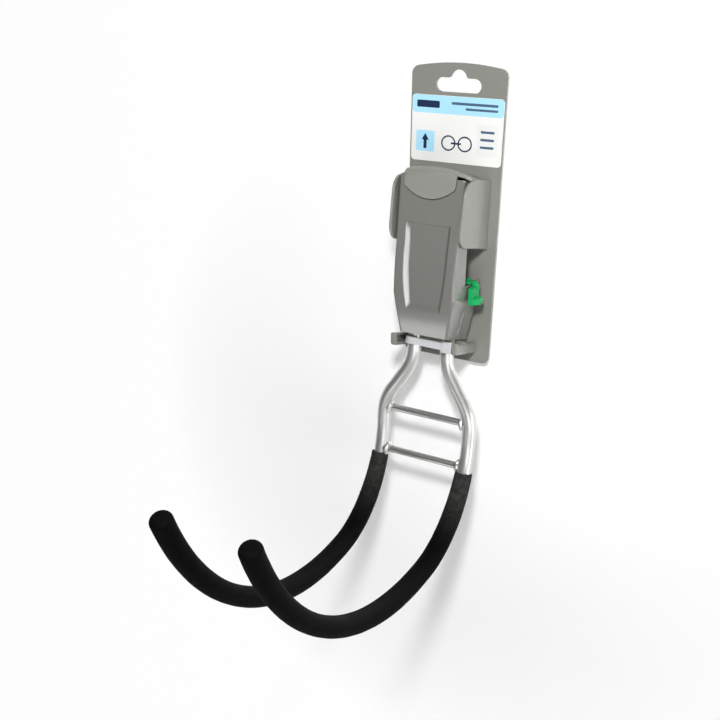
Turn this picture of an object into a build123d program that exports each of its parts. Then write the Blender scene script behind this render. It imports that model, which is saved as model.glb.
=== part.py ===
from build123d import *
import os
from math import acos, cos, degrees, radians, sin, tan

os.makedirs("parts", exist_ok=True)

# Frame: X to the viewer's right, Y into the wall, Z up, millimetres.
# Origin: middle of the hanging slot on the plate's back face.
# A depth is a distance out from the plate's front face.

# Hanger plate
plate_width = 67.0
plate_thickness = 2.5
plate_top = 14.1
plate_bottom = -194.5
plate_corner = 5.5
plate_arch = 3.4
slot_width = 32.0
slot_height = 9.3
slot_peak = 10.0
peak_radius = 5.6
peak_blend = 2.0
embed = 1.0
near = 1.0

# Wings of the plate
wing_draft = 1.8
wing_gap = 25.4
wing_wall = 1.8
wing_rim = 0.8
wing_root_top = -59.9
wing_root_foot = -108.2
wing_shoulder_depth = 25.0
wing_shoulder = -54.6
wing_shoulder_radius = 12.0
wing_nose_depth = 43.8
wing_nose = -54.4
wing_nose_radius = 10.0
wing_toe_depth = 50.7
wing_toe = -94.3
wing_toe_radius = 12.0

# Hood and tongue of the plate
hood_crown = -46.1
hood_crown_depth = 38.0
hood_rise_angle = 15.0
hood_arch_radius = 70.0
hood_half = 26.6
hood_wall = 1.6
hood_roof = 2.4
hood_corner = 8.0
hood_leg = 16.0
hood_length = 60.0
hood_side_depth = 25.0
hood_waist = 21.0
hood_waist_depth = 33.0
hood_neck_depth = 39.5
hood_neck_radius = 5.0
tongue_half = 17.8
tongue_wall = 2.4
tongue_clear = 0.4
tongue_side = -58.4
tongue_foot = -66.3
tongue_corner = 3.0
tongue_bend = 5.0

# Arms and saddle of the plate
arm_inner = 19.4
arm_outer = 24.2
arm_wall = 2.0
arm_nose_height = 9.3
arm_root_height = 8.0
arm_reach = 47.0
arm_reach_right = 38.5
arm_root = -183.3
arm_nose = -167.2
arm_round = 2.6
saddle_depth = 21.7
saddle_wall = 1.95
saddle_top = -170.2
saddle_foot = -179.8
strap_gate_width = 2.4
strap_gate_top = -171.4
strap_gate_foot = -178.4

# Label
label_width = 65.3
label_height = 44.0
label_top = -6.9
label_shift = 0.15
label_thickness = 0.4
label_corner = 2.5

# Housing cover
cover_draft = 3.4
cover_rear_depth = 5.0
cover_half = 24.75
cover_taper = 0.155
cover_kink = -132.9
cover_top_y = -42.0
cover_top_z = -52.9
cover_crease_y = -47.0
cover_crease_z = -97.9
cover_belly_y = -50.1
cover_belly_z = -128.9
cover_foot_y = -46.6
cover_foot_z = -162.0
cover_heel_y = -9.2
cover_heel_z = -174.9
cover_knee_z = -151.6
cover_rear_top_z = -65.0
cover_margin = 15.0
cover_wall = 1.6
cover_front_wall = 5.6
cover_mouth = 6.0
cover_edge = 2.0
panel_depth = 3.4
panel_belly_depth = 3.7
panel_foot_depth = 3.0
panel_wall_angle = 37.0
panel_lift = 4.0
panel_top = -82.6
panel_foot = -142.6
panel_half_top = 16.3
panel_half_foot = 12.2
rib_top_y = -26.0
rib_top_z = -148.0
rib_foot_y = -30.0
rib_foot_z = -164.0
rib_width = 1.0
rib_height = 0.35
notch_depth = 29.5
notch_top = -94.9
notch_foot = -127.9
notch_radius = 3.0
rod_hole_play = 0.2
rod_hole_below = 8.0
rod_hole_run = 24.0

# Rod frame
rod_diameter = 10.0
rod_lean = 3.6
rod_y = -31.5
rod_level = -170.9
rod_top = -85.0
rod_half_upper = 12.6
rod_half_lower = 33.9
spread_start = -188.6
spread_end = -222.6
spread_radius = 38.0
hook_corner = -307.9
hook_toe = 1.9
hook_radius_back = 69.0
hook_radius_front = 204.0
hook_rise = 70.5
hook_tip = 3.0
weld_fit = 0.03

# Crossbars
bar_diameter = 5.2
upper_bar = -228.7
lower_bar_angle = 15.8
bead_radius = 4.2
bead_length = 3.6

# Sleeves
sleeve_diameter = 12.2
sleeve_angle = 19.1
sleeve_fit = 0.05
sleeve_cap = 3.2
sleeve_cap_round = 2.8

# Bracket and screws inside the cover
bracket_half = 16.0
bracket_wall = 2.0
bracket_gap = 0.15
bracket_low = 21.0
bracket_high = 88.0
flange_half = 10.0
flange_depth = 19.0
rail_slot = 5.0
rail_hook_rise = 4.0
rail_hook_width = 3.5
rail_hook_length = 10.0
rail_low = 36.0
rail_high = 66.0
screw_low = 31.0
screw_high = 76.0
boss_diameter = 8.0
boss_length = 20.5
boss_gap = 0.1
pilot_diameter = 3.1
pilot_depth = 10.0
screw_diameter = 3.0
screw_length = 10.5
screw_head = 6.4
screw_head_height = 1.9
screw_play = 0.4
screw_seat = 0.02
recess_span = 3.8
recess_width = 0.9
recess_depth = 1.1

# Lock
lock_rear_depth = 13.0
lock_front_depth = 26.0
lock_inner = 24.6
lock_outer = 28.0
lock_top = -128.9
lock_foot = -141.0
lock_edge = 0.6
ledge_outer = 32.4
ledge_height = 4.5
ledge_rear_depth = 17.5
ledge_chamfer = 3.8
head_rear_depth = 15.0
head_front_depth = 19.0
head_x = 23.7
head_level = -131.0
head_radius = 4.9
neck_foot = -127.3
neck_top = -126.1
neck_rear_depth = 15.0
neck_front_depth = 22.0
shoe_inner = 18.4
shoe_outer = 20.6
shoe_front_depth = 37.0
shoe_foot = -134.5

# Tie
strap_width = 5.3
strap_wall = 1.3
strap_tilt = 17.0
strap_level = -172.85
strap_gap = 0.1
strap_head_start = 11.8
strap_head_end = 18.9
strap_head_height = 8.1
strap_head_depth = 2.9
strap_head_embed = 0.5
strap_head_round = 0.6
strap_back_round = 0.9


def out(depth):
    return -plate_thickness - depth


def lean_y(z):
    return rod_y + (z - rod_level) * tan(radians(rod_lean))


# Directions and corners of one rod, side +1 on the right
down_dir = Vector(0, -sin(radians(rod_lean)), -cos(radians(rod_lean)))


def fore_dir(side):
    return Vector(-side * sin(radians(hook_toe)), -cos(radians(hook_toe)), 0)


hook_turn = degrees(acos(sin(radians(rod_lean)) * cos(radians(hook_toe))))
back_run = hook_radius_back * tan(radians(hook_turn / 2))
front_run = hook_radius_front * tan(radians(hook_rise / 2))


def corner_back(side):
    return Vector(side * rod_half_lower, lean_y(hook_corner), hook_corner)


def corner_front(side):
    return corner_back(side) + fore_dir(side) * (back_run + front_run)


def tip_dir(side):
    return fore_dir(side) * cos(radians(hook_rise)) + Vector(0, 0, sin(radians(hook_rise)))


def hook_end(side):
    return corner_front(side) + tip_dir(side) * (front_run + hook_tip)


def on_back_bend(side, angle):
    first = down_dir
    across = (fore_dir(side) - first * cos(radians(hook_turn))) * (1 / sin(radians(hook_turn)))
    start = corner_back(side) - first * back_run
    swing = first * sin(radians(angle)) + across * (1 - cos(radians(angle)))
    return start + swing * hook_radius_back


def on_front_bend(side, angle):
    start = corner_front(side) - fore_dir(side) * front_run
    swing = fore_dir(side) * sin(radians(angle)) + Vector(0, 0, 1 - cos(radians(angle)))
    return start + swing * hook_radius_front


def rod_solid(side, diameter):
    with BuildPart() as rod:
        with BuildLine() as path:
            FilletPolyline(
                (side * rod_half_upper, lean_y(rod_top), rod_top),
                (side * rod_half_upper, lean_y(spread_start), spread_start),
                (side * rod_half_lower, lean_y(spread_end), spread_end),
                corner_back(side),
                corner_front(side),
                hook_end(side),
                radius=[spread_radius, spread_radius, hook_radius_back, hook_radius_front],
            )
        with BuildSketch(Plane(origin=path.wire() @ 0, z_dir=path.wire() % 0)):
            Circle(diameter / 2)
        sweep(path=path.wire())
    return rod.part


def sleeve_solid(side, diameter):
    with BuildPart() as sleeve:
        middle = (sleeve_angle + hook_turn) / 2
        with BuildLine() as path:
            ThreePointArc(
                on_back_bend(side, sleeve_angle),
                on_back_bend(side, middle),
                on_back_bend(side, hook_turn),
            )
            ThreePointArc(
                on_front_bend(side, 0),
                on_front_bend(side, hook_rise / 2),
                on_front_bend(side, hook_rise),
            )
            Line(on_front_bend(side, hook_rise), hook_end(side))
        with BuildSketch(Plane(origin=path.wire() @ 0, z_dir=path.wire() % 0)):
            Circle(diameter / 2)
        sweep(path=path.wire())
    return sleeve.part


# Front line of the cover: straight above the crease, one arc below it
cover_top = Vector(cover_top_y, cover_top_z)
cover_crease = Vector(cover_crease_y, cover_crease_z)
cover_belly = Vector(cover_belly_y, cover_belly_z)
cover_foot = Vector(cover_foot_y, cover_foot_z)
cover_fall = (cover_top_y - cover_crease_y) / (cover_top_z - cover_crease_z)
front_arc = Edge.make_three_point_arc(cover_crease, cover_belly, cover_foot)
front_centre = front_arc.arc_center


def cover_front(z):
    if z > cover_crease_z:
        return cover_crease_y + (z - cover_crease_z) * cover_fall
    return front_centre.X - (front_arc.radius**2 - (z - front_centre.Y) ** 2) ** 0.5


# Side profile of the cover swept across, trimmed by the drafted front outline
def cover_block(front_inset, wall_inset, rear_extra):
    rear = out(cover_rear_depth)
    inward = Vector(front_inset, 0)
    front_top = cover_top + inward - Vector(0, wall_inset)
    front_foot = cover_foot + inward + Vector(0, wall_inset)
    heel = (cover_heel_y - wall_inset, cover_heel_z + wall_inset)
    lower = [front_foot, heel, (rear, cover_knee_z + wall_inset)]
    if rear_extra > 0:
        lower.append((rear + rear_extra, cover_knee_z + wall_inset))
    lower.append((rear + rear_extra, cover_rear_top_z - wall_inset))
    lower.append(front_top)
    half = cover_half - wall_inset + rear_extra * tan(radians(cover_draft))
    high = cover_top_z + cover_margin
    low = cover_heel_z - cover_margin
    low_half = half - (cover_kink - low) * cover_taper
    reach = rear + rear_extra - cover_belly_y + cover_margin
    with BuildPart() as block:
        with BuildSketch(Plane.YZ):
            with BuildLine():
                Line(front_top, cover_crease + inward)
                ThreePointArc(cover_crease + inward, cover_belly + inward, front_foot)
                Polyline(*lower)
            make_face()
        extrude(amount=cover_half + cover_margin, both=True)
        with BuildSketch(Plane.XZ.offset(-rear - rear_extra)):
            with BuildLine():
                Polyline(
                    (-half, high),
                    (-half, cover_kink),
                    (-low_half, low),
                    (low_half, low),
                    (half, cover_kink),
                    (half, high),
                    close=True,
                )
            make_face()
        extrude(amount=reach, taper=cover_draft, mode=Mode.INTERSECT)
    return block.part


# Sunk front panel: sloping walls, floor creased and bowed like the cover's front
def panel_cut():
    top = Vector(0, cover_front(panel_top), panel_top)
    foot = Vector(0, cover_front(panel_foot), panel_foot)
    inward = Vector(0, top.Z - foot.Z, foot.Y - top.Y).normalized()
    span = (top - foot).length
    spread = panel_lift * tan(radians(panel_wall_angle))
    floor_crease = Vector(cover_crease_y + panel_depth, cover_crease_z)
    floor_foot = Vector(cover_front(panel_foot) + panel_foot_depth, panel_foot)
    floor_belly = Vector(cover_belly_y + panel_belly_depth, cover_belly_z)
    above = floor_crease + (cover_top - cover_crease)
    with BuildPart() as cut:
        with BuildSketch(Plane(origin=top - inward * panel_lift, x_dir=(1, 0, 0), z_dir=inward)):
            with BuildLine():
                Polyline(
                    (panel_half_top + spread, -spread),
                    (panel_half_foot + spread, span + spread),
                    (-panel_half_foot - spread, span + spread),
                    (-panel_half_top - spread, -spread),
                    close=True,
                )
            make_face()
        extrude(amount=panel_lift + 2 * panel_depth, taper=panel_wall_angle)
        with BuildSketch(Plane.YZ):
            with BuildLine():
                ThreePointArc(floor_crease, floor_belly, floor_foot)
                Polyline(floor_foot, (0, floor_foot.Y), (0, above.Y), above, floor_crease)
            make_face()
        extrude(amount=cover_half, both=True, mode=Mode.SUBTRACT)
    return cut.part


# Thin rib on the cover's right side, low and slanting; the left one is its mirror
def side_rib():
    head = Vector(rib_top_y, rib_top_z)
    foot = Vector(rib_foot_y, rib_foot_z)
    across = Vector(rib_width / 2, 0)
    with BuildPart() as rib:
        with BuildSketch(Plane.YZ.offset(panel_half_top)):
            with BuildLine():
                Polyline(head - across, head + across, foot + across, foot - across, close=True)
            make_face()
        extrude(amount=cover_half)
        add(cover_block(0, -rib_height, 0), mode=Mode.INTERSECT)
    return rib.part


# Hood of the hanger plate: arched roof that bends down into the tongue
rise = radians(hood_rise_angle)
root_crown = hood_crown - hood_crown_depth * tan(rise)
tongue_normal = Vector(0, -1, cover_fall).normalized()
tongue_middle = Vector(0, cover_top_y, cover_top_z) + tongue_normal * (tongue_clear + tongue_wall)
tongue_plane = Plane(origin=tongue_middle, x_dir=(1, 0, 0), z_dir=tongue_normal)
base_depth = -plate_thickness - tongue_middle.Y + tongue_middle.Z * cover_fall
crown_z = (root_crown + base_depth * tan(rise)) / (1 + cover_fall * tan(rise))
crown_y = tongue_middle.Y + (crown_z - tongue_middle.Z) * cover_fall

with BuildPart() as hood:
    arch_drop = hood_arch_radius - (hood_arch_radius**2 - hood_half**2) ** 0.5
    hood_plane = Plane(
        origin=(0, -plate_thickness, root_crown),
        x_dir=(1, 0, 0),
        z_dir=(0, -cos(rise), sin(rise)),
    )
    with BuildSketch(hood_plane.offset(-hood_leg)):
        with BuildLine():
            ThreePointArc((-hood_half, -arch_drop), (0, 0), (hood_half, -arch_drop))
            Polyline(
                (hood_half, -arch_drop),
                (hood_half, -hood_leg),
                (-hood_half, -hood_leg),
                (-hood_half, -arch_drop),
            )
        make_face()
        fillet(vertices().sort_by(Axis.Y)[-2:], hood_corner)
    extrude(amount=hood_length + hood_leg)
    inner_half = hood_half - hood_wall
    inner_drop = hood_arch_radius - (hood_arch_radius**2 - inner_half**2) ** 0.5
    with BuildSketch(hood_plane.offset(-hood_leg)):
        with BuildLine():
            ThreePointArc(
                (-inner_half, -inner_drop - hood_roof),
                (0, -hood_roof),
                (inner_half, -inner_drop - hood_roof),
            )
            Polyline(
                (inner_half, -inner_drop - hood_roof),
                (inner_half, -hood_leg),
                (-inner_half, -hood_leg),
                (-inner_half, -inner_drop - hood_roof),
            )
        make_face()
        fillet(vertices().sort_by(Axis.Y)[-2:], hood_corner - hood_wall)
    extrude(amount=hood_length + hood_leg, mode=Mode.SUBTRACT)
    split(bisect_by=Plane.XZ.offset(plate_thickness - embed), keep=Keep.TOP)
    split(bisect_by=tongue_plane, keep=Keep.BOTTOM)
    for side in (1, -1):
        with BuildSketch(Plane.XY.offset(cover_crease_z)):
            with BuildLine():
                FilletPolyline(
                    (side * tongue_half, out(hood_length)),
                    (side * tongue_half, out(hood_neck_depth)),
                    (side * hood_waist, out(hood_waist_depth)),
                    (side * (hood_half + near), out(hood_side_depth)),
                    (side * 2 * hood_half, out(hood_side_depth)),
                    (side * 2 * hood_half, out(hood_length)),
                    close=True,
                    radius=[0, hood_neck_radius, hood_neck_radius, 0, 0, 0],
                )
            make_face()
        extrude(amount=-2 * cover_crease_z, mode=Mode.SUBTRACT)
    top_middle = crown_z - tongue_middle.Z - hood_roof / 2
    side_drop = hood_arch_radius - (hood_arch_radius**2 - tongue_half**2) ** 0.5
    side_level = tongue_side - tongue_middle.Z
    with BuildSketch(tongue_plane):
        with BuildLine():
            Line((-tongue_half, side_level), (-tongue_half, top_middle - side_drop))
            ThreePointArc(
                (-tongue_half, top_middle - side_drop),
                (0, top_middle),
                (tongue_half, top_middle - side_drop),
            )
            Line((tongue_half, top_middle - side_drop), (tongue_half, side_level))
            ThreePointArc(
                (tongue_half, side_level),
                (0, tongue_foot - tongue_middle.Z),
                (-tongue_half, side_level),
            )
        make_face()
        fillet(vertices().sort_by(Axis.Y)[:2], tongue_corner)
    extrude(amount=-tongue_wall)
    bend_edge = edges().sort_by_distance((0, crown_y, crown_z))[0]
    fillet(bend_edge, tongue_bend)

# One arm of the plate on the right side, a rounded bar hollowed from its inner side
def arm_bar(reach):
    share = reach / arm_reach
    nose = arm_root + (arm_nose - arm_root) * share
    nose_half = (arm_root_height + (arm_nose_height - arm_root_height) * share) / 2
    root_half = arm_root_height / 2
    with BuildPart() as arm:
        with BuildSketch(Plane.YZ.offset(arm_inner)):
            with BuildLine():
                Polyline(
                    (out(-embed), arm_root + root_half),
                    (out(reach), nose + nose_half),
                    (out(reach), nose - nose_half),
                    (out(-embed), arm_root - root_half),
                    close=True,
                )
            make_face()
        extrude(amount=arm_outer - arm_inner)
        outer_edges = faces().sort_by(Axis.X)[-1].edges()
        fillet(outer_edges.filter_by(lambda edge: edge.center().Y < out(near)), arm_round)
        with BuildSketch(Plane.YZ.offset(arm_inner)):
            with BuildLine():
                Polyline(
                    (out(0), arm_root + root_half - arm_wall),
                    (out(reach - arm_wall), nose + nose_half - arm_wall),
                    (out(reach - arm_wall), nose - nose_half + arm_wall),
                    (out(0), arm_root - root_half + arm_wall),
                    close=True,
                )
            make_face()
        extrude(amount=arm_outer - arm_inner - arm_wall, mode=Mode.SUBTRACT)
    return arm.part


# One wing of the plate on the right side, a thin lip with a rounded rim
with BuildPart() as wing:
    draft = radians(wing_draft)
    wing_plane = Plane(
        origin=(wing_gap, -plate_thickness, 0),
        x_dir=(-sin(draft), -cos(draft), 0),
        z_dir=(-cos(draft), sin(draft), 0),
    )
    with BuildSketch(wing_plane):
        with BuildLine():
            FilletPolyline(
                (-embed, wing_root_foot),
                (-embed, wing_root_top),
                (wing_shoulder_depth, wing_shoulder),
                (wing_nose_depth, wing_nose),
                (wing_toe_depth, wing_toe),
                close=True,
                radius=[0, 0, wing_shoulder_radius, wing_nose_radius, wing_toe_radius],
            )
        make_face()
    extrude(amount=-wing_wall)
    rims = faces().sort_by(Axis.X)[0].edges() + faces().sort_by(Axis.X)[-1].edges()
    fillet(rims.filter_by(lambda edge: edge.center().Y < out(0)), wing_rim)

# Hanger plate: one moulding with slot, wings, hood, tongue, arms and saddle
with BuildPart() as carrier_plate:
    shoulder = plate_top - plate_arch
    half_width = plate_width / 2
    with BuildSketch(Plane.XZ):
        with BuildLine():
            ThreePointArc((-half_width, shoulder), (0, plate_top), (half_width, shoulder))
            Polyline(
                (half_width, shoulder),
                (half_width, plate_bottom),
                (-half_width, plate_bottom),
                (-half_width, shoulder),
            )
        make_face()
        fillet(vertices(), plate_corner)
    extrude(amount=plate_thickness)
    with BuildSketch(Plane.XZ):
        SlotOverall(slot_width, slot_height)
        with Locations((0, slot_peak - peak_radius)):
            Circle(peak_radius)
        feet = vertices().filter_by_position(Axis.X, -peak_radius, peak_radius)
        fillet(feet.filter_by(lambda foot: foot.Y > 0 and abs(foot.X) > near), peak_blend)
    extrude(amount=plate_thickness, mode=Mode.SUBTRACT)
    add(wing.part)
    mirror(about=Plane.YZ)
    add(arm_bar(arm_reach_right))
    add(mirror(arm_bar(arm_reach), about=Plane.YZ, mode=Mode.PRIVATE))
    add(hood.part)
    gate_x = rod_half_upper + rod_diameter / 2 + strap_gap + strap_wall / 2
    gate_z = (strap_gate_top + strap_gate_foot) / 2
    with BuildSketch(Plane.XZ.offset(-out(saddle_depth))):
        with Locations((0, (saddle_top + saddle_foot) / 2)):
            Rectangle(2 * arm_outer - arm_wall, saddle_top - saddle_foot)
        with Locations((gate_x, gate_z), (-gate_x, gate_z)):
            Rectangle(strap_gate_width, strap_gate_top - strap_gate_foot, mode=Mode.SUBTRACT)
    extrude(amount=saddle_wall)
carrier_plate.part.label = "carrier_plate"
export_step(carrier_plate.part, "parts/carrier_plate.step")

# Label card flat on the plate's face
with BuildPart() as label_card:
    with BuildSketch(Plane.XZ.offset(plate_thickness)):
        with Locations((label_shift, label_top - label_height / 2)):
            RectangleRounded(label_width, label_height, label_corner)
    extrude(amount=label_thickness)
label_card.part.label = "label_card"
export_step(label_card.part, "parts/label_card.step")

# Housing cover: drafted shell with sunk panel, side notch, rod holes and two bosses
lean_plane = Plane(
    origin=(0, rod_y, rod_level),
    x_dir=(1, 0, 0),
    z_dir=(0, sin(radians(rod_lean)), cos(radians(rod_lean))),
)
web_front = rod_diameter / 2 + bracket_gap
boss_planes = []
for level in (screw_low, screw_high):
    seat = lean_plane.from_local_coords(Vector(0, web_front, level))
    boss_planes.append(Plane(origin=seat, x_dir=(1, 0, 0), z_dir=-lean_plane.y_dir))

with BuildPart() as housing_cover:
    add(cover_block(0, 0, 0))
    front_edges = edges().filter_by(
        lambda edge: abs(edge.center().X) > panel_half_foot and edge.center().Y < cover_top_y + near
    )
    fillet(front_edges, cover_edge)
    add(side_rib())
    add(mirror(side_rib(), about=Plane.YZ, mode=Mode.PRIVATE))
    add(cover_block(cover_front_wall, cover_wall, cover_mouth), mode=Mode.SUBTRACT)
    add(panel_cut(), mode=Mode.SUBTRACT)
    with BuildSketch(*[plane.offset(boss_gap) for plane in boss_planes]):
        Circle(boss_diameter / 2)
    extrude(amount=boss_length)
    with BuildSketch(*boss_planes):
        Circle(pilot_diameter / 2)
    extrude(amount=pilot_depth, mode=Mode.SUBTRACT)
    with BuildSketch(Plane.YZ.offset(shoe_inner)):
        with BuildLine():
            FilletPolyline(
                (0, notch_top),
                (out(notch_depth), notch_top),
                (out(notch_depth), notch_foot),
                (0, notch_foot),
                close=True,
                radius=[0, notch_radius, notch_radius, 0],
            )
        make_face()
    extrude(amount=cover_half, mode=Mode.SUBTRACT)
    with BuildSketch(lean_plane.offset(-rod_hole_below)):
        with Locations((rod_half_upper, 0), (-rod_half_upper, 0)):
            Circle(rod_diameter / 2 + rod_hole_play)
    extrude(amount=rod_hole_run, mode=Mode.SUBTRACT)
housing_cover.part.label = "housing_cover"
export_step(housing_cover.part, "parts/housing_cover.step")

# Steel channel behind the rods
with BuildPart() as mount_bracket:
    with BuildSketch(lean_plane.offset(bracket_low)):
        with Locations((0, web_front + bracket_wall / 2)):
            Rectangle(2 * bracket_half, bracket_wall)
        flange_middle = (web_front + flange_depth) / 2
        with Locations(
            (flange_half - bracket_wall / 2, flange_middle),
            (-flange_half + bracket_wall / 2, flange_middle),
        ):
            Rectangle(bracket_wall, flange_depth - web_front)
    extrude(amount=bracket_high - bracket_low)
    with BuildSketch(*[plane.offset(bracket_wall) for plane in boss_planes]):
        Circle((screw_diameter + screw_play) / 2)
    extrude(amount=-3 * bracket_wall, mode=Mode.SUBTRACT)
    for rail_level in (rail_low, rail_high):
        corner = lean_plane.from_local_coords(Vector(0, flange_depth, rail_level))
        with BuildSketch(Plane(origin=corner, x_dir=lean_plane.y_dir, z_dir=(-1, 0, 0))):
            Rectangle(2 * rail_slot, rail_slot)
            with Locations((-rail_slot, rail_hook_rise)):
                Rectangle(rail_hook_width, rail_hook_length)
        extrude(amount=2 * flange_half, both=True, mode=Mode.SUBTRACT)
mount_bracket.part.label = "mount_bracket"
export_step(mount_bracket.part, "parts/mount_bracket.step")

# Two screws from behind the channel into the cover's bosses
with BuildPart() as cover_screws:
    with BuildSketch(*[plane.offset(-bracket_wall - screw_seat) for plane in boss_planes]):
        Circle(screw_head / 2)
    extrude(amount=-screw_head_height)
    with BuildSketch(*[plane.offset(-bracket_wall - screw_seat) for plane in boss_planes]):
        Circle(screw_diameter / 2)
    extrude(amount=screw_length)
    with BuildSketch(
        *[plane.offset(-bracket_wall - screw_seat - screw_head_height) for plane in boss_planes]
    ):
        Rectangle(recess_span, recess_width)
        Rectangle(recess_width, recess_span)
    extrude(amount=recess_depth, mode=Mode.SUBTRACT)
cover_screws.part.label = "cover_screws"
export_step(cover_screws.part, "parts/cover_screws.step")

# Lock: outer block with ledge, round head, neck through the notch, shoe inside the wall
with BuildPart() as lock_ledge:
    with BuildSketch(Plane.XY.offset(lock_foot)):
        with BuildLine():
            Polyline(
                (lock_inner, out(ledge_rear_depth)),
                (ledge_outer, out(ledge_rear_depth)),
                (ledge_outer, out(lock_front_depth - ledge_chamfer)),
                (lock_outer, out(lock_front_depth)),
                (lock_inner, out(lock_front_depth)),
                close=True,
            )
        make_face()
    extrude(amount=ledge_height)
    fillet(edges().filter_by(lambda edge: edge.center().X > lock_outer + lock_edge), lock_edge)

with BuildPart() as lock_slide:
    with BuildSketch(Plane.YZ.offset(lock_inner)):
        with Locations((out((lock_front_depth + lock_rear_depth) / 2), (lock_top + lock_foot) / 2)):
            Rectangle(lock_front_depth - lock_rear_depth, lock_top - lock_foot)
    extrude(amount=lock_outer - lock_inner)
    fillet(faces().sort_by(Axis.X)[-1].edges(), lock_edge)
    add(lock_ledge.part)
    with BuildSketch(Plane.XZ.offset(-out(head_rear_depth))):
        with Locations((head_x, head_level)):
            Circle(head_radius)
        with Locations((lock_inner, neck_foot)):
            Rectangle(
                2 * head_radius, 2 * head_radius, align=(Align.MAX, Align.MAX), mode=Mode.SUBTRACT
            )
    extrude(amount=head_front_depth - head_rear_depth)
    with BuildSketch(Plane.YZ.offset(shoe_inner)):
        with Locations(
            (out((neck_front_depth + neck_rear_depth) / 2), (neck_top + neck_foot) / 2)
        ):
            Rectangle(neck_front_depth - neck_rear_depth, neck_top - neck_foot)
    extrude(amount=lock_inner - shoe_inner)
    shoe_rear = out(lock_rear_depth)
    shoe_front = out(shoe_front_depth)
    with BuildSketch(Plane.YZ.offset(shoe_inner)):
        with Locations(((shoe_rear + shoe_front) / 2, (neck_top + shoe_foot) / 2)):
            Rectangle(shoe_rear - shoe_front, neck_top - shoe_foot)
    extrude(amount=shoe_outer - shoe_inner)
lock_slide.part.label = "lock_slide"
export_step(lock_slide.part, "parts/lock_slide.step")

# Rods, one bent bar each
with BuildPart() as left_rod:
    add(rod_solid(-1, rod_diameter))
left_rod.part.label = "left_rod"
export_step(left_rod.part, "parts/left_rod.step")

with BuildPart() as right_rod:
    add(rod_solid(1, rod_diameter))
right_rod.part.label = "right_rod"
export_step(right_rod.part, "parts/right_rod.step")

# Crossbars with flared weld ends, coped to the rods
coping = rod_diameter + 2 * weld_fit
lower_point = on_back_bend(1, lower_bar_angle)
upper_middle = Vector(0, lean_y(upper_bar), upper_bar)
lower_middle = Vector(0, lower_point.Y, lower_point.Z)


def bar_solid(middle):
    reach = rod_half_lower
    face = reach - rod_diameter / 2
    thin = bar_diameter / 2
    with BuildPart() as bar:
        with BuildSketch(Plane(origin=middle, x_dir=(1, 0, 0), z_dir=(0, -1, 0))):
            with BuildLine():
                Polyline((face - bead_length, thin), (-face + bead_length, thin))
                Spline(
                    (-face + bead_length, thin),
                    (-face, bead_radius),
                    tangents=((-1, 0), (-0.5, 1)),
                )
                Polyline(
                    (-face, bead_radius),
                    (-reach, bead_radius),
                    (-reach, 0),
                    (reach, 0),
                    (reach, bead_radius),
                    (face, bead_radius),
                )
                Spline(
                    (face, bead_radius),
                    (face - bead_length, thin),
                    tangents=((-0.5, -1), (-1, 0)),
                )
            make_face()
        revolve(axis=Axis(middle, (1, 0, 0)))
        add(rod_solid(1, coping), mode=Mode.SUBTRACT)
        add(rod_solid(-1, coping), mode=Mode.SUBTRACT)
    return bar.part.solids().sort_by_distance(middle)[0]


with BuildPart() as upper_crossbar:
    add(bar_solid(upper_middle))
upper_crossbar.part.label = "upper_crossbar"
export_step(upper_crossbar.part, "parts/upper_crossbar.step")

with BuildPart() as lower_crossbar:
    add(bar_solid(lower_middle))
lower_crossbar.part.label = "lower_crossbar"
export_step(lower_crossbar.part, "parts/lower_crossbar.step")

# Closed sleeves over the hooks, each with a flat rounded cap
def closed_sleeve(side):
    tip_plane = Plane(origin=hook_end(side), z_dir=tip_dir(side))
    with BuildPart() as sleeve:
        with BuildSketch(tip_plane):
            Circle(sleeve_diameter / 2)
        extrude(amount=sleeve_cap)
        cap_middle = hook_end(side) + tip_dir(side) * sleeve_cap
        cap_edge = edges().filter_by(GeomType.CIRCLE).sort_by_distance(cap_middle)[0]
        fillet(cap_edge, sleeve_cap_round)
        add(sleeve_solid(side, sleeve_diameter))
        add(sleeve_solid(side, rod_diameter + 2 * sleeve_fit), mode=Mode.SUBTRACT)
    return sleeve.part


with BuildPart() as left_sleeve:
    add(closed_sleeve(-1))
left_sleeve.part.label = "left_sleeve"
export_step(left_sleeve.part, "parts/left_sleeve.step")

with BuildPart() as right_sleeve:
    add(closed_sleeve(1))
right_sleeve.part.label = "right_sleeve"
export_step(right_sleeve.part, "parts/right_sleeve.step")

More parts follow.
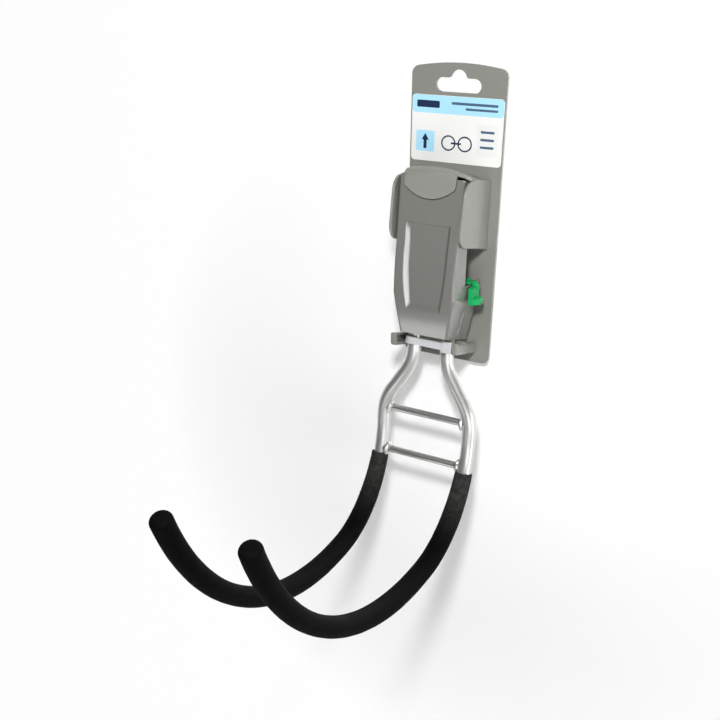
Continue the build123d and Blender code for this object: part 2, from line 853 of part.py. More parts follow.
# Tie: flat strap round both rods and through the saddle, with its head in front
with BuildPart() as tie_strap:
    tilt = radians(strap_tilt)
    strap_plane = Plane(
        origin=(0, lean_y(strap_level), strap_level),
        x_dir=(1, 0, 0),
        z_dir=(0, sin(tilt), cos(tilt)),
    )
    inner_side = rod_half_upper + rod_diameter / 2 + strap_gap
    skew = radians(strap_tilt - rod_lean)
    inner_front = rod_diameter / 2 / cos(skew) + strap_width / 2 * tan(skew) + strap_gap
    inner_back = (out(saddle_depth) - lean_y(strap_level)) / cos(tilt)
    inner_back = inner_back + strap_width / 2 * tan(tilt) + strap_gap
    side = inner_side + strap_wall
    front_round = rod_diameter / 2 + strap_wall
    back_round = strap_back_round + strap_wall
    with BuildSketch(strap_plane):
        with BuildLine():
            FilletPolyline(
                (side, -inner_front - strap_wall),
                (side, inner_back + strap_wall),
                (-side, inner_back + strap_wall),
                (-side, -inner_front - strap_wall),
                close=True,
                radius=[front_round, back_round, back_round, front_round],
            )
        make_face()
        with BuildLine():
            FilletPolyline(
                (inner_side, -inner_front),
                (inner_side, inner_back),
                (-inner_side, inner_back),
                (-inner_side, -inner_front),
                close=True,
                radius=[rod_diameter / 2, strap_back_round, strap_back_round, rod_diameter / 2],
            )
        make_face(mode=Mode.SUBTRACT)
    extrude(amount=strap_width / 2, both=True)
    with BuildSketch(strap_plane):
        head_back = -inner_front - strap_head_embed
        head_front = -inner_front - strap_wall - strap_head_depth
        with Locations(((strap_head_start + strap_head_end) / 2, (head_front + head_back) / 2)):
            RectangleRounded(strap_head_end - strap_head_start, head_back - head_front, strap_head_round)
    extrude(amount=strap_head_height / 2, both=True)
tie_strap.part.label = "tie_strap"
export_step(tie_strap.part, "parts/tie_strap.step")
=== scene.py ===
import bpy
from math import cos, pi, radians, sin, tan
from mathutils import Euler, Matrix, Vector


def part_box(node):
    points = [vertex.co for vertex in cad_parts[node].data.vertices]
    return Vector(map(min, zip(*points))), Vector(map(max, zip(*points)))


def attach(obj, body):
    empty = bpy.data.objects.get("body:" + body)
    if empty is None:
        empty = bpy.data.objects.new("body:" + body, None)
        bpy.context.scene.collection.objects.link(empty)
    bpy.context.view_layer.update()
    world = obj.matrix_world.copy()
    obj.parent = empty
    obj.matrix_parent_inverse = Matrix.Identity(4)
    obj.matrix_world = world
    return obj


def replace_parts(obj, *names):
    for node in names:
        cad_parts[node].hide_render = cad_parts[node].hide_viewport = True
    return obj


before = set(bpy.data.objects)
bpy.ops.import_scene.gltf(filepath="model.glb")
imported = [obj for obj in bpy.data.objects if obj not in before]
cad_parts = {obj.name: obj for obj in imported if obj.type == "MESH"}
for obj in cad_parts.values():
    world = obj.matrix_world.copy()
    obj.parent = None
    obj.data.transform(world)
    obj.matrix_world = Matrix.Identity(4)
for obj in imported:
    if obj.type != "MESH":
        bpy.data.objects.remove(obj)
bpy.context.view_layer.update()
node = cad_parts
bpy.context.scene.view_settings.view_transform = "Standard"

# Rail bracket inside the housing: a folded steel channel, zinc plated,
# cold and slightly blotchy, with the rods welded to its web. The zinc
# spangle below is the plating's crystal pattern, used by the screws too.
bracket_crystal = 0.005
bracket_dark = (0.40, 0.41, 0.42)
bracket_light = (0.52, 0.52, 0.51)
bracket_rough = (0.30, 0.48)


def material_with(name):
    material = bpy.data.materials.new(name)
    material.use_nodes = True
    tree = material.node_tree
    return material, tree, tree.nodes["Principled BSDF"]


def shader_group(name, inputs, outputs):
    group = bpy.data.node_groups.new(name, "ShaderNodeTree")
    for label, value in inputs:
        socket = group.interface.new_socket(label, in_out="INPUT", socket_type="NodeSocketFloat")
        socket.default_value = value
    for label in outputs:
        group.interface.new_socket(label, in_out="OUTPUT", socket_type="NodeSocketFloat")
    start = group.nodes.new("NodeGroupInput")
    end = group.nodes.new("NodeGroupOutput")
    return group, start, end


def place_group(tree, group, **values):
    placed = tree.nodes.new("ShaderNodeGroup")
    placed.node_tree = group
    for label, value in values.items():
        placed.inputs[label.replace("_", " ")].default_value = value
    return placed


def reckon(tree, operation, first, second):
    step = tree.nodes.new("ShaderNodeMath")
    step.operation = operation
    for value, socket in zip((first, second), step.inputs):
        if isinstance(value, float):
            socket.default_value = value
        else:
            tree.links.new(value, socket)
    return step.outputs[0]


def colour_between(tree, mask, low, high):
    mix = tree.nodes.new("ShaderNodeMix")
    mix.data_type = "RGBA"
    mix.inputs["A"].default_value = (*low, 1)
    mix.inputs["B"].default_value = (*high, 1)
    tree.links.new(mask, mix.inputs["Factor"])
    return mix.outputs["Result"]


def value_between(tree, mask, low, high, start=0.0, stop=1.0):
    spread = tree.nodes.new("ShaderNodeMapRange")
    spread.inputs["From Min"].default_value = start
    spread.inputs["From Max"].default_value = stop
    spread.inputs["To Min"].default_value = low
    spread.inputs["To Max"].default_value = high
    tree.links.new(mask, spread.inputs["Value"])
    return spread.outputs["Result"]


def dress(name, material):
    slots = node[name].data.materials
    slots.clear()
    slots.append(material)


zinc_spangle, spangle_in, spangle_out = shader_group(
    "zinc_spangle", [("Crystal size", bracket_crystal)], ["Spangle"]
)
spangle_place = zinc_spangle.nodes.new("ShaderNodeTexCoord")
spangle_cells = zinc_spangle.nodes.new("ShaderNodeTexVoronoi")
spangle_grey = zinc_spangle.nodes.new("ShaderNodeRGBToBW")
spangle_scale = reckon(zinc_spangle, "DIVIDE", 1.0, spangle_in.outputs["Crystal size"])
zinc_spangle.links.new(spangle_place.outputs["Object"], spangle_cells.inputs["Vector"])
zinc_spangle.links.new(spangle_scale, spangle_cells.inputs["Scale"])
zinc_spangle.links.new(spangle_cells.outputs["Color"], spangle_grey.inputs["Color"])
zinc_spangle.links.new(spangle_grey.outputs["Val"], spangle_out.inputs["Spangle"])


def zinc_plating(name, crystal, low, high, rough):
    material, tree, shader = material_with(name)
    spangle = place_group(tree, zinc_spangle, Crystal_size=crystal).outputs["Spangle"]
    shader.inputs["Metallic"].default_value = 1.0
    tree.links.new(colour_between(tree, spangle, low, high), shader.inputs["Base Color"])
    tree.links.new(value_between(tree, spangle, *rough), shader.inputs["Roughness"])
    return material


bracket_zinc = zinc_plating(
    "bracket_zinc", bracket_crystal, bracket_dark, bracket_light, bracket_rough
)
dress("mount_bracket", bracket_zinc)
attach(node["mount_bracket"], "hook")

# Two pan-head screws that pull the cover onto the bracket: cold-headed
# steel with a finer plating than the bracket and a cross recess.
screw_crystal = 0.0012
screw_dark = (0.36, 0.36, 0.37)
screw_light = (0.46, 0.46, 0.45)
screw_rough = (0.26, 0.40)
screw_zinc = zinc_plating("screw_zinc", screw_crystal, screw_dark, screw_light, screw_rough)
dress("cover_screws", screw_zinc)
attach(node["cover_screws"], "hook")

# Two bent steel rods with two thin bars across: 10 mm and 5 mm round bar,
# cold bent, welded and then coated together in a satin silver paint with
# a very fine metal flake in it. The bars get a darker copy of that paint: painted shade.
flake_scale = 2600.0
flake_detail = 1.0
flake_depth = 0.0001
flake_bump = 0.12
cloud_scale = 45.0
cloud_detail = 4.0
coat_metal = 0.85
coat_rough = (0.26, 0.38)
rod_dark = (0.68, 0.68, 0.665)
rod_light = (0.76, 0.76, 0.745)
# Darker copy of the rod paint for the bars: painted shade.
bar_shade_dark = (0.37, 0.37, 0.36)
bar_shade_light = (0.44, 0.44, 0.43)


def noise_group(name, *rows):
    inputs = [(label + " scale", scale) for label, scale, detail in rows]
    outputs = [label for label, scale, detail in rows]
    group, start, end = shader_group(name, inputs, outputs)
    place = group.nodes.new("ShaderNodeTexCoord")
    for label, scale, detail in rows:
        speck = group.nodes.new("ShaderNodeTexNoise")
        speck.inputs["Detail"].default_value = detail
        group.links.new(place.outputs["Object"], speck.inputs["Vector"])
        group.links.new(start.outputs[label + " scale"], speck.inputs["Scale"])
        group.links.new(speck.outputs["Fac"], end.inputs[label])
    return group


def bump_from(tree, height, distance, strength, under=None):
    bump = tree.nodes.new("ShaderNodeBump")
    bump.inputs["Strength"].default_value = strength
    bump.inputs["Distance"].default_value = distance
    tree.links.new(height, bump.inputs["Height"])
    if under is not None:
        tree.links.new(under, bump.inputs["Normal"])
    return bump.outputs["Normal"]


flake_coat = noise_group(
    "flake_coat",
    ("Flake", flake_scale, flake_detail),
    ("Cloud", cloud_scale, cloud_detail),
)


def silver_paint(name, low, high):
    material, tree, shader = material_with(name)
    paint = place_group(tree, flake_coat, Flake_scale=flake_scale, Cloud_scale=cloud_scale)
    flake = paint.outputs["Flake"]
    cloud = paint.outputs["Cloud"]
    shader.inputs["Metallic"].default_value = coat_metal
    tree.links.new(colour_between(tree, cloud, low, high), shader.inputs["Base Color"])
    tree.links.new(value_between(tree, flake, *coat_rough), shader.inputs["Roughness"])
    tree.links.new(bump_from(tree, flake, flake_depth, flake_bump), shader.inputs["Normal"])
    return material


silver_coat = silver_paint("silver_coat", rod_dark, rod_light)
bar_shade_coat = silver_paint("bar_shade_coat", bar_shade_dark, bar_shade_light)
for name, coat in (
    ("left_rod", silver_coat),
    ("right_rod", silver_coat),
    ("upper_crossbar", bar_shade_coat),
    ("lower_crossbar", bar_shade_coat),
):
    dress(name, coat)
    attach(node[name], "hook")

# Weld beads where the thin bars meet the rods: a ring of overlapping
# puddles laid round each bar end, coated with the rods.
rod_face = 0.0289
bead_ring = 0.0033
bead_thick = 0.0017
bead_sink = 0.0006
bead_turns = 48
bead_sides = 14
lump_size = 0.0027
lump_depth = 0.0024
lump_level = 0.55


def weld_bead(name, side, bar_y, bar_z):
    bpy.ops.object.select_all(action="DESELECT")
    bpy.ops.mesh.primitive_torus_add(
        major_radius=bead_ring,
        minor_radius=bead_thick,
        major_segments=bead_turns,
        minor_segments=bead_sides,
        location=(side * (rod_face - bead_sink), bar_y, bar_z),
        rotation=(0, pi / 2, 0),
    )
    bead = bpy.context.object
    bead.name = name
    bpy.ops.object.transform_apply(location=True, rotation=True, scale=True)
    ripple = bpy.data.textures.new(name + "_ripple", "CLOUDS")
    ripple.noise_scale = lump_size
    lumps = bead.modifiers.new("lumps", "DISPLACE")
    lumps.texture = ripple
    lumps.texture_coords = "LOCAL"
    lumps.strength = lump_depth
    lumps.mid_level = lump_level
    bpy.ops.object.modifier_apply(modifier="lumps")
    bpy.ops.object.shade_smooth()
    bead.data.materials.append(silver_coat)
    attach(bead, "hook")


for level in ("upper", "lower"):
    bar_low, bar_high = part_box(level + "_crossbar")
    bar_y = (bar_low[1] + bar_high[1]) / 2
    bar_z = (bar_low[2] + bar_high[2]) / 2
    weld_bead(level + "_left_bead", -1, bar_y, bar_z)
    weld_bead(level + "_right_bead", 1, bar_y, bar_z)

# Two sleeves over the hooks: closed tubes of dense black foam rubber,
# pushed on warm, thicker over the back bend, with a fine open skin. At the
# tops, towards the back, lighter patches are painted glints, also bumped rougher.
foam_dark = (0.0022, 0.0022, 0.0021)
# Lighter foam tone for the painted glints at the sleeve tops.
foam_glint_tone = (0.060, 0.059, 0.056)
foam_rough = (0.6, 0.85)
foam_gloss = 0.03
foam_depth = 0.0004
foam_bump = 0.5
pore_scale = 1500.0
pore_detail = 2.0
patch_scale = 330.0
patch_detail = 3.0
glint_low = -0.305
glint_high = -0.275
glint_front = -0.09
glint_back = -0.06
sleeve_radius = 0.0061
sleeve_wall = 0.00104
sleeve_sides = 48
mouth_angle = radians(19.1)
rod_lean = radians(3.6)
hook_toe = radians(1.9)
hook_rise = radians(70.5)
hook_corner = (0.0339, -0.04012, -0.3079)
back_bend = 0.069
front_bend = 0.204
bend_steps = 30
sweep_steps = 60
sleeve_swell = 0.16
swell_at_mouth = 0.4
swell_growth = 6
swell_end = 0.72
swell_fade = 0.30
tip_run = 0.0012
tip_round = 0.0034
tip_steps = 7
dimple_depth = 0.0002
dimple_share = 0.5
weld_distance = 0.000001
dent_size = 0.009
dent_depth = 0.00022
dent_level = 0.8
lip_width = 0.0003
lip_steps = 3
lip_angle = radians(60)
smooth_angle = radians(50)

foam_skin = noise_group(
    "foam_skin", ("Pore", pore_scale, pore_detail), ("Patch", patch_scale, patch_detail)
)
sleeve_foam, tree, shader = material_with("sleeve_foam")
foam = place_group(tree, foam_skin, Pore_scale=pore_scale, Patch_scale=patch_scale)
foam_place = tree.nodes.new("ShaderNodeTexCoord")
foam_axes = tree.nodes.new("ShaderNodeSeparateXYZ")
tree.links.new(foam_place.outputs["Object"], foam_axes.inputs["Vector"])
# Painted glint mask: sleeve tops towards the back, broken into patches; it lightens the colour and
# raises the bump.
glint_top_mask = value_between(tree, foam_axes.outputs["Z"], 0.0, 1.0, glint_low, glint_high)
glint_rear_mask = value_between(tree, foam_axes.outputs["Y"], 0.0, 1.0, glint_front, glint_back)
glint_zone = reckon(tree, "MULTIPLY", glint_top_mask, glint_rear_mask)
glint_patch = reckon(tree, "MULTIPLY", glint_zone, foam.outputs["Patch"])
foam_height = reckon(tree, "ADD", glint_patch, foam.outputs["Pore"])
foam_colour = colour_between(tree, glint_patch, foam_dark, foam_glint_tone)
foam_matt = value_between(tree, foam.outputs["Pore"], *foam_rough)
foam_normal = bump_from(tree, foam_height, foam_depth, foam_bump)
tree.links.new(foam_colour, shader.inputs["Base Color"])
tree.links.new(foam_matt, shader.inputs["Roughness"])
tree.links.new(foam_normal, shader.inputs["Normal"])
shader.inputs["Specular IOR Level"].default_value = foam_gloss


def foam_size(way):
    fade = max(0.0, min(1.0, (swell_end - way) / swell_fade))
    return 1 + sleeve_swell * min(1.0, swell_at_mouth + swell_growth * way) * fade


def extrude_by(way):
    bpy.ops.mesh.extrude_region_move(TRANSFORM_OT_translate={"value": way})


def scale_about(centre, share):
    bpy.ops.transform.resize(value=(share,) * 3, center_override=centre)


def round_tip(tip, tip_way):
    tip = tip + tip_way * tip_run
    extrude_by(tip_way * tip_run)
    ring = sleeve_radius
    risen = 0.0
    for step in range(1, tip_steps + 1):
        angle = step * pi / (2 * tip_steps)
        rise = tip_round * sin(angle) - risen
        narrow = sleeve_radius - tip_round * (1 - cos(angle))
        tip = tip + tip_way * rise
        extrude_by(tip_way * rise)
        scale_about(tip, narrow / ring)
        ring = narrow
        risen = risen + rise
    extrude_by(tip_way * -dimple_depth)
    scale_about(tip - tip_way * dimple_depth, dimple_share)
    extrude_by((0, 0, 0))
    bpy.ops.mesh.merge(type="CENTER")


def foam_wall(sleeve):
    swell = bpy.data.textures.new(sleeve.name + "_swell", "CLOUDS")
    swell.noise_scale = dent_size
    uneven = sleeve.modifiers.new("uneven", "DISPLACE")
    uneven.texture = swell
    uneven.texture_coords = "LOCAL"
    uneven.strength = dent_depth
    uneven.mid_level = dent_level
    bpy.ops.object.modifier_apply(modifier="uneven")
    wall = sleeve.modifiers.new("wall", "SOLIDIFY")
    wall.thickness = sleeve_wall
    wall.offset = -1
    bpy.ops.object.modifier_apply(modifier="wall")
    lip = sleeve.modifiers.new("lip", "BEVEL")
    lip.width = lip_width
    lip.segments = lip_steps
    lip.limit_method = "ANGLE"
    lip.angle_limit = lip_angle
    bpy.ops.object.modifier_apply(modifier="lip")
    bpy.ops.object.shade_smooth_by_angle(angle=smooth_angle)


def hook_sleeve(name, side):
    down = Vector((0, -sin(rod_lean), -cos(rod_lean)))
    fore = Vector((-side * sin(hook_toe), -cos(hook_toe), 0))
    up = Vector((0, 0, 1))
    turn = down.angle(fore)
    across = (fore - down * cos(turn)) / sin(turn)
    corner = Vector((side * hook_corner[0], hook_corner[1], hook_corner[2]))
    run = back_bend * tan(turn / 2)
    back_centre = corner - down * run + across * back_bend
    front_centre = corner + fore * run + up * front_bend
    mouth = back_centre + back_bend * (down * sin(mouth_angle) - across * cos(mouth_angle))
    mouth_way = down * cos(mouth_angle) + across * sin(mouth_angle)
    bpy.ops.object.select_all(action="DESELECT")
    bpy.ops.mesh.primitive_circle_add(
        vertices=sleeve_sides,
        radius=sleeve_radius * foam_size(0),
        location=mouth,
        rotation=mouth_way.to_track_quat("Z", "Y").to_euler(),
    )
    sleeve = bpy.context.object
    sleeve.name = name
    bpy.ops.object.transform_apply(location=True, rotation=True, scale=True)
    bpy.ops.object.mode_set(mode="EDIT")
    bpy.ops.mesh.select_all(action="SELECT")
    bend_length = back_bend * (turn - mouth_angle)
    sweep_length = front_bend * hook_rise
    size = foam_size(0)
    for step in range(1, bend_steps + sweep_steps + 1):
        if step <= bend_steps:
            angle = mouth_angle + (turn - mouth_angle) * step / bend_steps
            gone = back_bend * (angle - mouth_angle)
            centre = back_centre + back_bend * (down * sin(angle) - across * cos(angle))
            bpy.ops.mesh.spin(
                steps=1,
                angle=(mouth_angle - turn) / bend_steps,
                center=back_centre,
                axis=down.cross(across),
            )
        else:
            angle = hook_rise * (step - bend_steps) / sweep_steps
            gone = bend_length + front_bend * angle
            centre = front_centre + front_bend * (fore * sin(angle) - up * cos(angle))
            bpy.ops.mesh.spin(
                steps=1,
                angle=-hook_rise / sweep_steps,
                center=front_centre,
                axis=fore.cross(up),
            )
        wanted = foam_size(gone / (bend_length + sweep_length))
        scale_about(centre, wanted / size)
        size = wanted
    tip = front_centre + front_bend * (fore * sin(hook_rise) - up * cos(hook_rise))
    round_tip(tip, fore * cos(hook_rise) + up * sin(hook_rise))
    bpy.ops.mesh.select_all(action="SELECT")
    bpy.ops.mesh.remove_doubles(threshold=weld_distance)
    bpy.ops.mesh.normals_make_consistent(inside=False)
    bpy.ops.object.mode_set(mode="OBJECT")
    foam_wall(sleeve)
    sleeve.data.materials.append(sleeve_foam)
    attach(sleeve, "hook")
    return sleeve


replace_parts(hook_sleeve("left_hook_sleeve", -1), "left_sleeve")
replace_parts(hook_sleeve("right_hook_sleeve", 1), "right_sleeve")

# Housing cover: an injection-moulded shell screwed over the bracket. The
# grey plastic has a fine spark-etched grain and faint flow clouds, and its
# edges are a little rounded, as a mould leaves them.
grain_scale = 1800.0
grain_detail = 3.0
grain_depth = 0.0002
grain_bump = 0.10
flow_scale = 22.0
flow_detail = 5.0
edge_samples = 6
moulded_grain = noise_group(
    "moulded_grain", ("Grain", grain_scale, grain_detail), ("Flow", flow_scale, flow_detail)
)


def moulded_plastic(name, low, high, rough, round_edge, gloss):
    material, tree, shader = material_with(name)
    mould = place_group(tree, moulded_grain, Grain_scale=grain_scale, Flow_scale=flow_scale)
    grain = mould.outputs["Grain"]
    flow = mould.outputs["Flow"]
    edge = tree.nodes.new("ShaderNodeBevel")
    edge.samples = edge_samples
    edge.inputs["Radius"].default_value = round_edge
    normal = bump_from(tree, grain, grain_depth, grain_bump, under=edge.outputs["Normal"])
    tree.links.new(colour_between(tree, flow, low, high), shader.inputs["Base Color"])
    tree.links.new(value_between(tree, grain, *rough), shader.inputs["Roughness"])
    tree.links.new(normal, shader.inputs["Normal"])
    shader.inputs["Specular IOR Level"].default_value = gloss
    return material


housing_plastic = moulded_plastic(
    "housing_plastic",
    low=(0.150, 0.149, 0.138),
    high=(0.172, 0.171, 0.159),
    rough=(0.15, 0.21),
    round_edge=0.0007,
    gloss=0.8,
)
dress("housing_cover", housing_plastic)
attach(node["housing_cover"], "hook")

# Sliding lock on the housing's right side: satin green moulding with a
# thumb ledge, a round head and a shoe behind the wall.
lock_green = moulded_plastic(
    "lock_green",
    low=(0.008, 0.30, 0.082),
    high=(0.014, 0.36, 0.110),
    rough=(0.45, 0.52),
    round_edge=0.0005,
    gloss=0.12,
)
dress("lock_slide", lock_green)
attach(node["lock_slide"], "lock")

# Hanger plate: one thin grey moulding that the hook is clipped into, a
# shade lighter than the housing and a little duller.
plate_plastic = moulded_plastic(
    "plate_plastic",
    low=(0.204, 0.206, 0.185),
    high=(0.233, 0.235, 0.212),
    rough=(0.20, 0.27),
    round_edge=0.0006,
    gloss=0.45,
)
dress("carrier_plate", plate_plastic)
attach(node["carrier_plate"], "hook")

# Tie: natural nylon strap pulled tight round the rod tops, milky, with
# fine slanting ribs along its outer face.
rib_slant = radians(35)
rib_scale = 260.0
rib_waver = 0.4
rib_depth = 0.0002
rib_bump = 0.5
nylon_dark = (0.47, 0.48, 0.50)
nylon_light = (0.56, 0.57, 0.58)
nylon_rough = (0.35, 0.5)
nylon_milk = 0.15
nylon_reach = 0.002
tie_nylon, tree, shader = material_with("tie_nylon")
tie_place = tree.nodes.new("ShaderNodeTexCoord")
tie_turn = tree.nodes.new("ShaderNodeMapping")
tie_turn.inputs["Rotation"].default_value = (0, rib_slant, 0)
tie_wave = tree.nodes.new("ShaderNodeTexWave")
tie_wave.inputs["Scale"].default_value = rib_scale
tie_wave.inputs["Distortion"].default_value = rib_waver
tree.links.new(tie_place.outputs["Object"], tie_turn.inputs["Vector"])
tree.links.new(tie_turn.outputs["Vector"], tie_wave.inputs["Vector"])
ribs = tie_wave.outputs["Fac"]
tree.links.new(colour_between(tree, ribs, nylon_dark, nylon_light), shader.inputs["Base Color"])
tree.links.new(value_between(tree, ribs, *nylon_rough), shader.inputs["Roughness"])
tree.links.new(bump_from(tree, ribs, rib_depth, rib_bump), shader.inputs["Normal"])
shader.inputs["Subsurface Weight"].default_value = nylon_milk
shader.inputs["Subsurface Scale"].default_value = nylon_reach
dress("tie_strap", tie_nylon)
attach(node["tie_strap"], "hook")

# Label card glued to the plate: white coated board with a silky surface.
# Its print is laid on in flat fields of colour.
fibre_scale = 900.0
fibre_detail = 6.0
fibre_depth = 0.00005
fibre_bump = 0.2
card_rough = (0.35, 0.5)
card_fibre = noise_group("card_fibre", ("Fibre", fibre_scale, fibre_detail))


def card_ink(name, low, high):
    material, tree, shader = material_with(name)
    fibre = place_group(tree, card_fibre, Fibre_scale=fibre_scale).outputs["Fibre"]
    tree.links.new(colour_between(tree, fibre, low, high), shader.inputs["Base Color"])
    tree.links.new(value_between(tree, fibre, *card_rough), shader.inputs["Roughness"])
    tree.links.new(bump_from(tree, fibre, fibre_depth, fibre_bump), shader.inputs["Normal"])
    return material


card_white = card_ink("card_white", low=(0.75, 0.75, 0.73), high=(0.80, 0.80, 0.78))
dress("label_card", card_white)
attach(node["label_card"], "hook")

# Print on the card, placed in millimetres: a pale blue band with a dark
# tab and two plain bars, and below it a blue tile with an arrow, two
# linked rings and a pale frame with three short rows.
mm = 0.001
card_face = -0.0029
ink_thick = 0.00004
corner_steps = 6
ring_sides = 40
arrow_sides = 3
row_feet = (-29.5, -34.5, -39.5)
row_height = 1.6


def ink_place(across, level, layer):
    return (across * mm, card_face - layer * ink_thick, level * mm)


def start_print(piece, name):
    piece.name = name
    bpy.ops.object.transform_apply(location=True, rotation=True, scale=True)
    bpy.ops.object.mode_set(mode="EDIT")
    bpy.ops.mesh.select_all(action="SELECT")


def raise_print(piece, ink):
    extrude_by((0, -ink_thick, 0))
    bpy.ops.mesh.select_all(action="SELECT")
    bpy.ops.mesh.normals_make_consistent(inside=False)
    bpy.ops.object.mode_set(mode="OBJECT")
    piece.data.materials.append(ink)


def print_patch(name, ink, left, right, foot, top, corner, layer):
    bpy.ops.object.select_all(action="DESELECT")
    bpy.ops.mesh.primitive_plane_add(
        size=1,
        location=ink_place((left + right) / 2, (foot + top) / 2, layer),
        rotation=(pi / 2, 0, 0),
    )
    patch = bpy.context.object
    patch.scale = ((right - left) * mm, (top - foot) * mm, 1)
    start_print(patch, name)
    bpy.ops.mesh.bevel(offset=corner * mm, segments=corner_steps, affect="VERTICES")
    raise_print(patch, ink)
    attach(patch, "hook")


def print_shape(name, ink, sides, centre_x, centre_z, outer, inner, layer):
    middle = ink_place(centre_x, centre_z, layer)
    bpy.ops.object.select_all(action="DESELECT")
    bpy.ops.mesh.primitive_circle_add(
        vertices=sides,
        radius=outer * mm,
        fill_type="NOTHING" if inner else "NGON",
        location=middle,
        rotation=(pi / 2, 0, 0),
    )
    shape = bpy.context.object
    start_print(shape, name)
    if inner:
        extrude_by((0, 0, 0))
        scale_about(middle, inner / outer)
        bpy.ops.mesh.select_all(action="SELECT")
    raise_print(shape, ink)
    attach(shape, "hook")


ink_band = card_ink("ink_band", low=(0.35, 0.66, 0.85), high=(0.40, 0.70, 0.88))
ink_navy = card_ink("ink_navy", low=(0.004, 0.016, 0.05), high=(0.007, 0.022, 0.065))
ink_slate = card_ink("ink_slate", low=(0.05, 0.10, 0.17), high=(0.07, 0.13, 0.21))
ink_pale = card_ink("ink_pale", low=(0.70, 0.71, 0.70), high=(0.76, 0.77, 0.76))
print_patch("label_band", ink_band, -32.3, 32.6, -18.8, -7.1, 2.3, 0)
print_patch("label_tab", ink_navy, -29.0, -12.5, -15.2, -10.6, 0.9, 1)
print_patch("label_bar_long", ink_slate, -4.0, 28.5, -12.4, -10.7, 0.4, 1)
print_patch("label_bar_short", ink_slate, 6.0, 28.5, -15.6, -14.1, 0.4, 1)
print_patch("label_tile", ink_band, -29.0, -15.5, -44.5, -30.5, 0.8, 0)
print_patch("label_stem", ink_navy, -23.4, -21.1, -42.5, -36.0, 0.2, 1)
print_patch("label_frame", ink_pale, 15.0, 29.5, -44.5, -24.0, 0.8, 0)
for row, foot in enumerate(row_feet):
    print_patch("label_row_%d" % row, ink_slate, 17.5, 27.0, foot, foot + row_height, 0.4, 1)
print_patch("label_link", ink_navy, -3.4, 4.0, -38.3, -37.1, 0.3, 0)
print_shape("label_arrow", ink_navy, arrow_sides, -22.25, -35.2, 3.0, 0, 1)
print_shape("label_ring_left", ink_navy, ring_sides, -5.2, -37.7, 5.2, 4.2, 0)
print_shape("label_ring_right", ink_navy, ring_sides, 6.6, -37.7, 5.2, 4.2, 0)

# Wall behind the plate and a pale floor far below: matt studio surfaces
# that also glow for the camera, the floor evenly, the wall in reflections
# too, faint near the hooks so their shadows stay and near full white further
# out. The wall is open from behind so the back can be looked at and is
# reached by the lamp behind it.
wall_size = 6
wall_behind = 0.006
wall_tone = (0.97, 0.97, 0.97, 1)
wall_rough = 0.9
wall_gloss = 0.1
shade_centre = (0.02, 0.003, -0.30)
shade_near = 0.12
shade_far = 0.30
glow_near = 0.14
glow_far = 0.97
floor_size = 8
floor_level = -0.9
floor_tone = (0.8, 0.8, 0.79, 1)
floor_glow_tone = (0.85, 0.85, 0.84, 1)
floor_rough = 0.9
floor_glow_share = 0.8


def mix_shaders(tree, share, first, second):
    mix = tree.nodes.new("ShaderNodeMixShader")
    tree.links.new(share, mix.inputs["Fac"])
    tree.links.new(first, mix.inputs[1])
    tree.links.new(second, mix.inputs[2])
    return mix.outputs[0]


wall_white, tree, shader = material_with("wall_white")
shader.inputs["Base Color"].default_value = wall_tone
shader.inputs["Roughness"].default_value = wall_rough
shader.inputs["Specular IOR Level"].default_value = wall_gloss
wall_place = tree.nodes.new("ShaderNodeTexCoord")
wall_side = tree.nodes.new("ShaderNodeNewGeometry")
wall_ray = tree.nodes.new("ShaderNodeLightPath")
wall_glow = tree.nodes.new("ShaderNodeEmission")
wall_open = tree.nodes.new("ShaderNodeBsdfTransparent")
wall_reach = tree.nodes.new("ShaderNodeVectorMath")
wall_reach.operation = "DISTANCE"
wall_reach.inputs[1].default_value = shade_centre
tree.links.new(wall_place.outputs["Object"], wall_reach.inputs[0])
# Painted glow on the wall for camera and reflection rays: faint near the hooks, almost full white
# away from them.
wall_fade = value_between(
    tree, wall_reach.outputs["Value"], glow_near, glow_far, shade_near, shade_far
)
wall_seen = reckon(
    tree, "MAXIMUM", wall_ray.outputs["Is Camera Ray"], wall_ray.outputs["Is Glossy Ray"]
)
wall_lift = reckon(tree, "MULTIPLY", wall_seen, wall_fade)
wall_through = reckon(
    tree, "MAXIMUM", wall_side.outputs["Backfacing"], wall_ray.outputs["Is Shadow Ray"]
)
wall_lit = mix_shaders(tree, wall_lift, shader.outputs[0], wall_glow.outputs[0])
wall_cut = mix_shaders(tree, wall_through, wall_lit, wall_open.outputs[0])
tree.links.new(wall_cut, tree.nodes["Material Output"].inputs["Surface"])
bpy.ops.object.select_all(action="DESELECT")
bpy.ops.mesh.primitive_plane_add(
    size=wall_size, location=(0, wall_behind, 0), rotation=(pi / 2, 0, 0)
)
wall = bpy.context.object
bpy.ops.object.transform_apply(location=True, rotation=True, scale=True)
wall.name = "studio_wall"
wall.data.materials.append(wall_white)

floor_pale, tree, shader = material_with("floor_pale")
shader.inputs["Base Color"].default_value = floor_tone
shader.inputs["Roughness"].default_value = floor_rough
floor_ray = tree.nodes.new("ShaderNodeLightPath")
floor_glow = tree.nodes.new("ShaderNodeEmission")
floor_glow.inputs["Color"].default_value = floor_glow_tone
floor_lift = reckon(tree, "MULTIPLY", floor_ray.outputs["Is Camera Ray"], floor_glow_share)
floor_lit = mix_shaders(tree, floor_lift, shader.outputs[0], floor_glow.outputs[0])
tree.links.new(floor_lit, tree.nodes["Material Output"].inputs["Surface"])
bpy.ops.object.select_all(action="DESELECT")
bpy.ops.mesh.primitive_plane_add(size=floor_size, location=(0, 0, floor_level))
floor = bpy.context.object
floor.name = "studio_floor"
floor.data.materials.append(floor_pale)

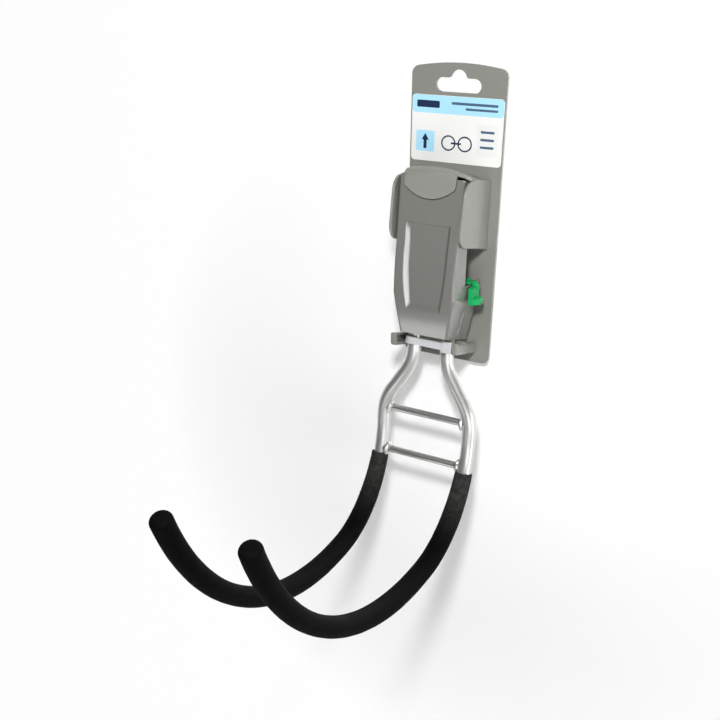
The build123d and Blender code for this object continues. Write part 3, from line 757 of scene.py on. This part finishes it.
# Studio light: a small soft lamp above the camera, a broad one overhead, a
# tall narrow one far right by the wall that draws the bright edges, panels
# in front and under the foot, one behind and an even pale surround.
surround_white = (1, 1, 1, 1)
surround_strength = 0.07
surround_seen = (0.92, 0.92, 0.92, 1)
surround = bpy.data.worlds.new("studio_surround")
surround.use_nodes = True
sky = surround.node_tree
sky_dim = sky.nodes["Background"]
sky_dim.inputs["Color"].default_value = surround_white
sky_dim.inputs["Strength"].default_value = surround_strength
sky_pale = sky.nodes.new("ShaderNodeBackground")
sky_pale.inputs["Color"].default_value = surround_seen
sky_ray = sky.nodes.new("ShaderNodeLightPath")
sky_both = mix_shaders(
    sky, sky_ray.outputs["Is Camera Ray"], sky_dim.outputs[0], sky_pale.outputs[0]
)
sky.links.new(sky_both, sky.nodes["World Output"].inputs["Surface"])
bpy.context.scene.world = surround


def soft_lamp(name, place, aim, size, power):
    lamp = bpy.data.objects.new(name, bpy.data.lights.new(name, "AREA"))
    lamp.data.shape = "RECTANGLE"
    lamp.data.size = size[0]
    lamp.data.size_y = size[1]
    lamp.data.energy = power
    look = (Vector(aim) - Vector(place)).to_track_quat("-Z", "Y")
    lamp.matrix_world = Matrix.Translation(place) @ look.to_matrix().to_4x4()
    lamp.visible_camera = False
    bpy.context.collection.objects.link(lamp)


soft_lamp(
    "key_lamp", place=(0.145, -0.453, 0.146), aim=(0.0, -0.03, -0.28), size=(0.05, 0.05), power=2.9
)
soft_lamp(
    "top_lamp", place=(-0.1, -0.5, 0.8), aim=(0.0, -0.05, -0.15), size=(0.6, 0.5), power=0.4
)
soft_lamp(
    "edge_lamp", place=(0.95, -0.17, -0.38), aim=(0.0, -0.05, -0.12), size=(0.08, 0.46), power=2.3
)
soft_lamp(
    "front_lamp", place=(0.58, -0.92, -0.45), aim=(0.0, -0.05, -0.22), size=(0.9, 0.42), power=2.5
)
soft_lamp(
    "foot_lamp", place=(-0.29, -0.66, -0.80), aim=(0.0, -0.05, -0.18), size=(0.40, 0.26), power=1.3
)
soft_lamp(
    "rear_lamp", place=(0.1, 1.3, -0.08), aim=(0.0, 0.0, -0.13), size=(0.5, 0.5), power=12.0
)

# Camera at the photograph's viewing angle, a little right of and above
# the object.
camera_place = (0.2159, -0.5616, 0.0671)
camera_swing = radians(27.223)
camera_tilt = radians(90 - 23.987)
camera_roll = radians(0.33)
camera_lens = 43.46
camera_sensor = 36.0
camera = bpy.data.objects.new("camera", bpy.data.cameras.new("camera"))
bpy.context.collection.objects.link(camera)
camera.data.lens = camera_lens
camera.data.sensor_width = camera_sensor
swing = Euler((0, 0, camera_swing)).to_matrix().to_4x4()
tilt = Euler((camera_tilt, 0, 0)).to_matrix().to_4x4()
roll = Euler((0, 0, camera_roll)).to_matrix().to_4x4()
camera.matrix_world = Matrix.Translation(camera_place) @ swing @ tilt @ roll
bpy.context.scene.camera = camera
